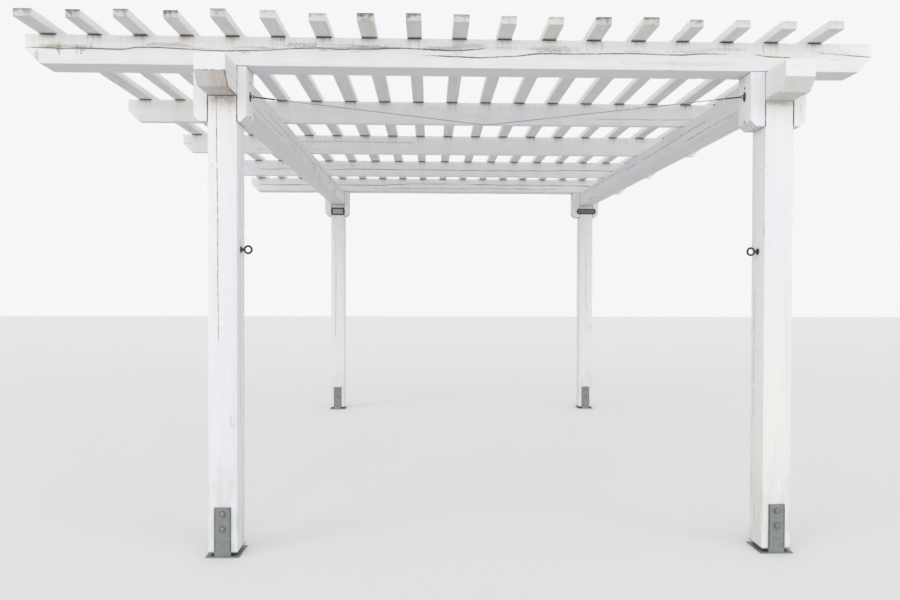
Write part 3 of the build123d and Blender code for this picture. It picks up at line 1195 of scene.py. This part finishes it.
def makePosts():
    look = postLook
    for number, (row, column) in enumerate(postPlaces):
        node = f"post_{row}_{column}"
        low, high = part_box(node)
        dice = random.Random(look["firstDraw"] + number)
        cracks = []
        if node == "post_front_left":
            path = [(height, (low.x + high.x) / 2 + offset) for height, offset in look["frontPath"]]
            cracks.append(check(*look["frontCheck"], path=path))
        elif row == "rear":
            cracks.append(check(*drawn(dice, look["rearPostCheck"])))
        cracks += [check(*drawn(dice, values)) for values in look["checks"]]
        makeTimber(node, 2, timberFinish["post"], cracks, step=look["step"],
                   seed=look["firstSeed"] + number)
    print("posts planed and cracked:", len(postPlaces))


slatLook = {
    "easedEdge": 0.002,
    "screwStand": 0.0008,
    "step": 0.045,
    "firstSeed": 51,
    "firstDraw": 101,
    "checks": (
        (2, 1, (-0.020, -0.012), (-2.6, -1.0), (0.0, 2.6), 0.0016, 0.005, 0.003),
        (2, 1, (0.008, 0.018), (-2.6, -1.4), (0.4, 2.6), 0.0020, 0.006, 0.003),
    ),
    # How far each slat's ends have weathered, left to right
    "weather": (0.55, 1.00, 0.70, 0.95, 0.60, 0.25, 0.30, 0.95, 0.75,
                0.55, 0.25, 0.25, 0.95, 0.80, 0.50, 0.15, 0.10, 0.10),
}


def makeSlats():
    look = slatLook
    for number, weather in enumerate(look["weather"]):
        dice = random.Random(look["firstDraw"] + number)
        cracks = [check(*drawn(dice, values)) for values in look["checks"]]
        makeTimber(f"slat_{number + 1:02d}", 1, timberFinish["slat"], cracks, step=look["step"],
                   eased=look["easedEdge"], seed=look["firstSeed"] + number, planed=look["screwStand"],
                   weather=weather)
    print("slats planed and cracked:", len(look["weather"]))


cleatLook = {
    "cornerCut": 0.028,
    "easedEdge": 0.002,
    "step": 0.018,
    "firstSeed": 140,
}
cleatPlaces = [(*place, side) for place in postPlaces for side in ("outer", "inner")]


def cleatFarFace(row, column, side):
    # The cleat's box, the face away from its post, and which way that face looks
    low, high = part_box(f"cleat_{row}_{column}_{side}")
    outward = (1 if column == "right" else -1) * (1 if side == "outer" else -1)
    return low, high, high.x if outward > 0 else low.x, outward


def makeCleats():
    look = cleatLook
    for number, place in enumerate(cleatPlaces):
        low, _, far, outward = cleatFarFace(*place)
        corner = Vector((far - outward * look["cornerCut"], 0, low.z))
        sawCuts = ((corner, Vector((outward, 0, -1))),)
        makeTimber("cleat_" + "_".join(place), 2, timberFinish["cleat"], (), sawCuts, step=look["step"],
                   eased=look["easedEdge"], easedEdges=lambda co, far=far: abs(co.x - far) < 1e-4,
                   seed=look["firstSeed"] + number)
    print("cleats sawn:", len(cleatPlaces))


makeCrossBeams()
makeBeams()
makePosts()
makeSlats()
makeCleats()


# Fittings

def turnedDisc(bm, centre, direction, radius, thickness, sides=24, rim=0.0004, top=None, turn=0.0):
    # A disc or a many-sided head whose back lies on centre and whose face looks along direction
    upright = Vector((0, 0, 1)).rotation_difference(direction).to_matrix().to_4x4()
    place = Matrix.Translation(centre + direction * thickness / 2) @ upright @ Matrix.Rotation(turn, 4, "Z")
    made = bmesh.ops.create_cone(bm, cap_ends=True, segments=sides, radius1=radius, radius2=top or radius,
                                 depth=thickness, matrix=place)
    if rim:
        verts = set(made["verts"])
        edges = [e for e in bm.edges if e.verts[0] in verts and e.verts[1] in verts
                 and all((v.co - centre).dot(direction) > thickness * 0.9 for v in e.verts)]
        bevelEdges(bm, edges, rim)


boltLook = {
    "strapThickness": 0.005,
    "washer": (0.0125, 0.0015),  # each with its radius and its thickness or length
    "head": (0.0108, 0.0075),
    "nut": (0.0108, 0.0100),
    "stub": (0.0060, 0.0150),
    "nutRim": 0.0012,
    "stubRim": 0.0008,
    "anchorSpacing": 0.100,
    "plateThickness": 0.005,
    "anchorWasher": (0.0120, 0.0015),
    "anchorNut": (0.0092, 0.0070),
    "anchorStub": (0.0048, 0.0105),
    "anchorNutRim": 0.0009,
    "anchorStubRim": 0.0006,
}


def makeBaseBolts():
    look = boltLook
    up = axisVector(2)
    half = look["anchorSpacing"] / 2
    for row, column in postPlaces:
        low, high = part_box(f"base_{row}_{column}")
        middle = (low + high) / 2
        dice = random.Random(f"{row} {column}")
        bm = bmesh.new()
        for height in boltHeights:
            for way in (-1, 1):
                direction = axisVector(1, way)
                at = Vector((middle.x, middle.y + way * (timberHalf + look["strapThickness"]), height))
                turnedDisc(bm, at, direction, *look["washer"])
                at = at + direction * look["washer"][1]
                isHead = way * (1 if row == "front" else -1) < 0
                turnedDisc(bm, at, direction, *look["head" if isHead else "nut"], sides=6,
                           rim=look["nutRim"], turn=dice.uniform(0, math.pi / 3))
                if not isHead:
                    turnedDisc(bm, at, direction, *look["stub"], sides=16, rim=look["stubRim"])
        keepMetal(f"bolts_{row}_{column}", bm, "bolt")
        bm = bmesh.new()
        for x in (middle.x - half, middle.x + half):
            for y in (middle.y - half, middle.y + half):
                at = Vector((x, y, low.z + look["plateThickness"]))
                turnedDisc(bm, at, up, *look["anchorWasher"])
                turnedDisc(bm, at + up * look["anchorWasher"][1], up, *look["anchorNut"], sides=6,
                           rim=look["anchorNutRim"], turn=dice.uniform(0, math.pi / 3))
                turnedDisc(bm, at, up, *look["anchorStub"], sides=14, rim=look["anchorStubRim"])
        keepMetal(f"anchors_{row}_{column}", bm, "darkIron")
    print("bolts, nuts and anchors set in bases:", len(postPlaces))


def ringRound(bm, centre, radius, bar, flat=False, sides=24, barSides=10):
    # A closed ring of round bar, standing along X and Z, or lying flat
    section = Matrix.Translation(centre + Vector((radius, 0, 0)))
    if flat:
        section = section @ Matrix.Rotation(math.radians(90), 4, "X")
    made = bmesh.ops.create_circle(bm, segments=barSides, radius=bar, matrix=section)
    bmesh.ops.spin(bm, geom=edgesOf(made["verts"]), cent=centre, axis=axisVector(2 if flat else 1),
                   angle=math.radians(360), steps=sides, use_merge=True)


eyeLook = {
    "ringRadius": 0.0175,
    "barRadius": 0.0045,
    "collarRadius": 0.0160,
    "collarThickness": 0.004,
    "collarRim": 0.0014,
    "neckLength": 0.009,
    "neckFoot": 0.00775,
    "neckTop": 0.00527,
}


def makeEyes():
    look = eyeLook
    for column, inward in columns:
        low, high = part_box(f"eye_{column}")
        middle = (low + high) / 2
        direction = axisVector(0, inward)
        seat = Vector(((leftPost[1] if inward > 0 else rightPost[0]).x, middle.y, middle.z))
        tip = high.x if inward > 0 else low.x
        ring = Vector((tip - inward * (look["ringRadius"] + look["barRadius"]), middle.y, middle.z))
        bm = bmesh.new()
        turnedDisc(bm, seat, direction, look["collarRadius"], look["collarThickness"], sides=32,
                   rim=look["collarRim"])
        turnedDisc(bm, seat + direction * look["collarThickness"], direction, look["neckFoot"],
                   look["neckLength"] + look["barRadius"], sides=20, rim=0.0, top=look["neckTop"])
        ringRound(bm, ring, look["ringRadius"], look["barRadius"], sides=48, barSides=16)
        keepMetal(f"forged_eye_{column}", bm, "darkIron", smoothAngle=40.0, replaced=[f"eye_{column}"])
    print("eye bolts forged:", len(columns))


wireLook = {
    "shankDepth": 0.030,
    "ringOffset": 0.0125,
    "outerRadius": 0.0085,
    "ringRadius": 0.00675,
    "barRadius": 0.00175,
    "neckRadius": 0.0019,
    "neckFoot": 0.00247,
    "loopRadius": 0.0046,
    "loopBar": 0.0013,
    "kinkFromMiddle": (-0.066, 0.0, -0.138),
    "twistStart": 0.0088,
    "coilRadius": 0.0023,
    "coilBar": 0.0011,
    "pitch": 0.0023,
    "turnSteps": 12,
    # Where each end's windings begin and stop along the wire, and how loose they are
    "windings": {
        "left": ((0.000, 0.100, 1.0), (0.106, 0.150, 2.4)),
        "right": ((0.000, 0.078, 1.0), (0.086, 0.120, 2.0)),
    },
    "plateHalf": (0.013, 0.024),
    "plateThickness": 0.0025,
}


def windRound(bm, start, direction, length, looseness):
    # One winding: a round section spun about the wire while it travels along it
    look = wireLook
    outward = direction.cross(axisVector(1)).normalized()
    turn = Matrix((outward, direction, outward.cross(direction))).transposed().to_4x4()
    section = Matrix.Translation(start + outward * look["coilRadius"]) @ turn
    made = bmesh.ops.create_circle(bm, segments=8, radius=look["coilBar"], matrix=section)
    edges = edgesOf(made["verts"])
    turns = length / (look["pitch"] * looseness)
    count = int(turns * look["turnSteps"])
    spun = bmesh.ops.spin(bm, geom=edges, cent=start, axis=direction, angle=math.tau * turns, steps=count,
                          dvec=direction * (length / count), use_merge=False)
    for rim in (edges, only(bmesh.types.BMEdge, spun["geom_last"])):
        bmesh.ops.edgeloop_fill(bm, edges=rim)


def ovalPlate(bm, seat, inward):
    # A small plate behind a screw eye
    look = wireLook
    half, tall = look["plateHalf"]
    turn = Matrix.Rotation(math.radians(90), 4, "Y")
    place = Matrix.Translation(seat) @ turn @ Matrix.Diagonal((tall, half, 1, 1))
    made = bmesh.ops.create_circle(bm, cap_ends=True, segments=32, radius=1.0, matrix=place)
    faces = list({face for vert in made["verts"] for face in vert.link_faces})
    raised = bmesh.ops.extrude_face_region(bm, geom=faces)
    verts = only(bmesh.types.BMVert, raised["geom"])
    bmesh.ops.translate(bm, vec=axisVector(0, inward * look["plateThickness"]), verts=verts)


def makeWireEnds():
    look = wireLook
    low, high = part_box("wire_eyes")
    y = (low.y + high.y) / 2
    inset = look["shankDepth"] + look["ringOffset"]
    rings = {
        "left": Vector((low.x + inset, y, low.z + look["outerRadius"])),
        "right": Vector((high.x - inset, y, high.z - look["outerRadius"])),
    }
    kink = (rings["left"] + rings["right"]) / 2 + Vector(look["kinkFromMiddle"])
    bm = bmesh.new()
    for column, inward in columns:
        ring = rings[column]
        turnedDisc(bm, ring - axisVector(0, inward * look["ringOffset"]), axisVector(0, inward),
                   look["neckFoot"], look["ringOffset"] - look["ringRadius"], sides=14, rim=0.0,
                   top=look["neckRadius"])
        ringRound(bm, ring, look["ringRadius"], look["barRadius"])
    keepMetal("wire_screw_eyes", bm, "darkIron", smoothAngle=40.0, replaced=["wire_eyes"])
    for column, inward in columns:
        ring = rings[column]
        direction = (kink - ring).normalized()
        bm = bmesh.new()
        ringRound(bm, ring + axisVector(0, inward * look["ringRadius"]), look["loopRadius"],
                  look["loopBar"], flat=True, sides=20, barSides=8)
        for start, end, looseness in look["windings"][column]:
            at = ring + direction * (look["twistStart"] + start)
            windRound(bm, at, direction, end - start, looseness)
        keepMetal(f"wire_windings_{column}", bm, "darkIron", smoothAngle=50.0)
        bm = bmesh.new()
        ovalPlate(bm, ring - axisVector(0, inward * look["ringOffset"]), inward)
        keepMetal(f"wire_plate_{column}", bm, "darkIron", smoothAngle=40.0)
    print("wire ends wound:", len(columns))


nailLook = {
    "radius": 0.0050,
    "thickness": 0.0016,
    "rim": 0.0006,
}


def makeNailHeads():
    # Big-headed nails that hold the cleats
    look = nailLook
    bm = bmesh.new()
    for place in cleatPlaces:
        low, high, far, outward = cleatFarFace(*place)
        for height in nailHeights:
            at = Vector((far, (low.y + high.y) / 2, height))
            turnedDisc(bm, at, axisVector(0, outward), look["radius"], look["thickness"], sides=16,
                       rim=look["rim"])
    keepMetal("cleat_nails", bm, "rustyNail")
    print("nails driven in", len(cleatPlaces), "cleats")


screwLook = {
    "radius": 0.0042,
    "sink": 0.0006,
    "apart": 0.017,
    "strayAcross": 0.004,
    "strayAlong": 0.010,
    "seed": 7,
}


def makeSlatScrews():
    # Two screws at every crossing of a slat and a cross beam
    look = screwLook
    dice = random.Random(look["seed"])
    thickness = slatLook["screwStand"] + look["sink"]
    bm = bmesh.new()
    for number in range(1, slatCount + 1):
        low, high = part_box(f"slat_{number:02d}")
        for index in range(1, crossBeamCount + 1):
            beamLow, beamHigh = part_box(f"cross_beam_{index}")
            across, along = look["strayAcross"], min(look["strayAlong"], (beamHigh.y - beamLow.y) / 4)
            for side in (-1, 1):
                x = (low.x + high.x) / 2 + side * look["apart"]
                at = Vector((x, (beamLow.y + beamHigh.y) / 2, high.z - thickness))
                at += Vector((dice.uniform(-across, across), dice.uniform(-along, along), 0))
                turnedDisc(bm, at, axisVector(2), look["radius"], thickness, sides=10)
    keepMetal("slat_screws", bm, "rustyNail")
    print("slats screwed down:", slatCount)


plaqueLook = {
    "thickness": 0.005,
    "recess": 0.0015,
    "rimEase": 0.0012,
    "screw": (0.0042, 0.0012),
    # The outline's upper right quarter, and how far the rim and the screws lie
    "left": {
        "middle": (-1.109, 2.1320), "field": "paleField", "rim": 0.014, "screwAt": 0.048,
        "quarter": ((0.075, 0.0), (0.062, 0.0395)),
    },
    "right": {
        "middle": (1.578, 2.1445), "field": "greyField", "rim": 0.007, "screwAt": 0.084,
        "quarter": ((0.107, 0.0), (0.098, 0.012), (0.102, 0.018), (0.088, 0.0295)),
    },
}


def makePlaques():
    # Bare cast plates on the front faces of the rear posts
    look = plaqueLook
    face = rearPost[0].y
    for column, _ in columns:
        plate = look[column]
        x, z = plate["middle"]
        upper = [*plate["quarter"], *((-across, up) for across, up in reversed(plate["quarter"]))]
        outline = upper + [(across, -up) for across, up in reversed(upper[1:-1])]
        bm = bmesh.new()
        front = bm.faces.new([bm.verts.new((x + across, face, z + up)) for across, up in outline])
        raised = bmesh.ops.extrude_face_region(bm, geom=[front])
        cap = only(bmesh.types.BMFace, raised["geom"])[0]
        bmesh.ops.translate(bm, vec=axisVector(1, -look["thickness"]), verts=cap.verts)
        bevelEdges(bm, cap.edges[:], look["rimEase"])
        cap = min(bm.faces, key=lambda f: (round(f.calc_center_median().y, 5), -f.calc_area()))
        bmesh.ops.inset_individual(bm, faces=[cap], thickness=plate["rim"], depth=0.0)
        bmesh.ops.inset_individual(bm, faces=[cap], thickness=look["rimEase"], depth=-look["recess"])
        cap.material_index = 1
        for side in (-1, 1):
            at = Vector((x + side * plate["screwAt"], face - look["thickness"] + look["recess"], z))
            turnedDisc(bm, at, axisVector(1, -1), *look["screw"], sides=14)
        keepMetal(f"bare_plaque_{column}", bm, "castIron", plate["field"])
    print("bare plaques fixed:", len(columns))


makeBaseBolts()
makeEyes()
makeWireEnds()
makeNailHeads()
makeSlatScrews()
makePlaques()
for name, piece in nodes.items():
    if name.startswith("base_") or name == "hanging_wire":
        piece.data.materials.clear()
        piece.data.materials.append(metalFinish["zinc" if name.startswith("base_") else "wire"])
print("fittings finished")


# Floor, light and camera

stageLook = {
    "floorSize": 60.0,
    "floorColour": (0.71, 0.705, 0.69),
    "floorShown": (0.93, 0.93, 0.925),
    "floorRoughness": 0.9,
    "skyShown": (0.92, 0.925, 0.93),
    "skyLight": (0.965, 0.98, 1.0),
    "skyZenith": 0.58,
    "skyRise": 0.42,
    # Soft lamps, one straight in front and one to each side: strength, height and turn in degrees
    "lampColour": (1.0, 0.985, 0.96),
    "lampSoftness": 38.0,
    "lamps": {"left": (0.68, 14.0, -50.0), "right": (0.50, 14.0, 50.0), "front": (0.34, 18.0, 0.0)},
}


def seenByEye(tree):
    # 1 for what the camera sees, straight or through gloss and glass
    camera = addNode(tree, "LightPath", {}, "Is Camera Ray")
    glossy = addNode(tree, "LightPath", {}, "Is Glossy Ray")
    through = addNode(tree, "LightPath", {}, "Is Transmission Ray")
    return larger(larger(camera, glossy), through)


def makeFloor():
    look = stageLook
    bm = bmesh.new()
    bmesh.ops.create_grid(bm, x_segments=1, y_segments=1, size=look["floorSize"] / 2)
    mesh = bpy.data.meshes.new("floor")
    bm.to_mesh(mesh)
    bm.free()
    floor = bpy.data.objects.new("floor", mesh)
    bpy.context.scene.collection.objects.link(floor)
    material, place, shader = newMaterial("plain_floor")
    colour = blendColour(seenByEye(place.tree), look["floorColour"], look["floorShown"])
    feed(shader.inputs["Base Color"], colour)
    feed(shader.inputs["Roughness"], look["floorRoughness"])
    mesh.materials.append(material)


def makeSky():
    look = stageLook
    world = bpy.data.worlds.new("pale_sky")
    bpy.context.scene.world = world
    world.use_nodes = True
    tree = world.node_tree
    tree.nodes.clear()
    rise = split(addNode(tree, "TexCoord", {}, "Generated"))[2]
    strength = (1.0 - larger(rise, 0.0)) * look["skyRise"] + look["skyZenith"]
    lit = addNode(tree, "Background", {"Color": look["skyLight"], "Strength": strength})
    shown = addNode(tree, "Background", {"Color": look["skyShown"]})
    mixed = addNode(tree, "MixShader", {0: seenByEye(tree), 1: lit, 2: shown})
    feed(tree.nodes.new("ShaderNodeOutputWorld").inputs["Surface"], mixed)


def makeLamps():
    look = stageLook
    for name, (strength, height, turn) in look["lamps"].items():
        light = bpy.data.lights.new(f"soft_{name}", "SUN")
        light.energy = strength
        light.angle = math.radians(look["lampSoftness"])
        light.color = look["lampColour"]
        lamp = bpy.data.objects.new(f"soft_{name}", light)
        up = math.radians(height)
        about = math.radians(turn)
        towards = Vector((math.sin(about) * math.cos(up), -math.cos(about) * math.cos(up), math.sin(up)))
        lamp.rotation_euler = towards.to_track_quat("Z", "Y").to_euler()
        bpy.context.scene.collection.objects.link(lamp)


cameraLook = {
    "place": (-0.1217, -5.6908, 1.2804),
    "focalPixels": 719.12,
    "imageWidth": 900,
    "sensorWidth": 36.0,
    "yawRight": 1.6295,
    "pitchDown": 0.7386,
    "roll": 0.1398,
}


def makeCamera():
    look = cameraLook
    data = bpy.data.cameras.new("camera")
    data.sensor_width = look["sensorWidth"]
    data.lens = look["focalPixels"] * look["sensorWidth"] / look["imageWidth"]
    camera = bpy.data.objects.new("camera", data)
    turn = Matrix.Rotation(math.radians(-look["yawRight"]), 4, "Z")
    tilt = Matrix.Rotation(math.radians(90 - look["pitchDown"]), 4, "X")
    lean = Matrix.Rotation(math.radians(look["roll"]), 4, "Z")
    camera.matrix_world = Matrix.Translation(look["place"]) @ turn @ tilt @ lean
    bpy.context.scene.collection.objects.link(camera)
    bpy.context.scene.camera = camera


makeFloor()
makeSky()
makeLamps()
makeCamera()
bpy.context.scene.view_settings.view_transform = "Standard"
print("stage and camera set")
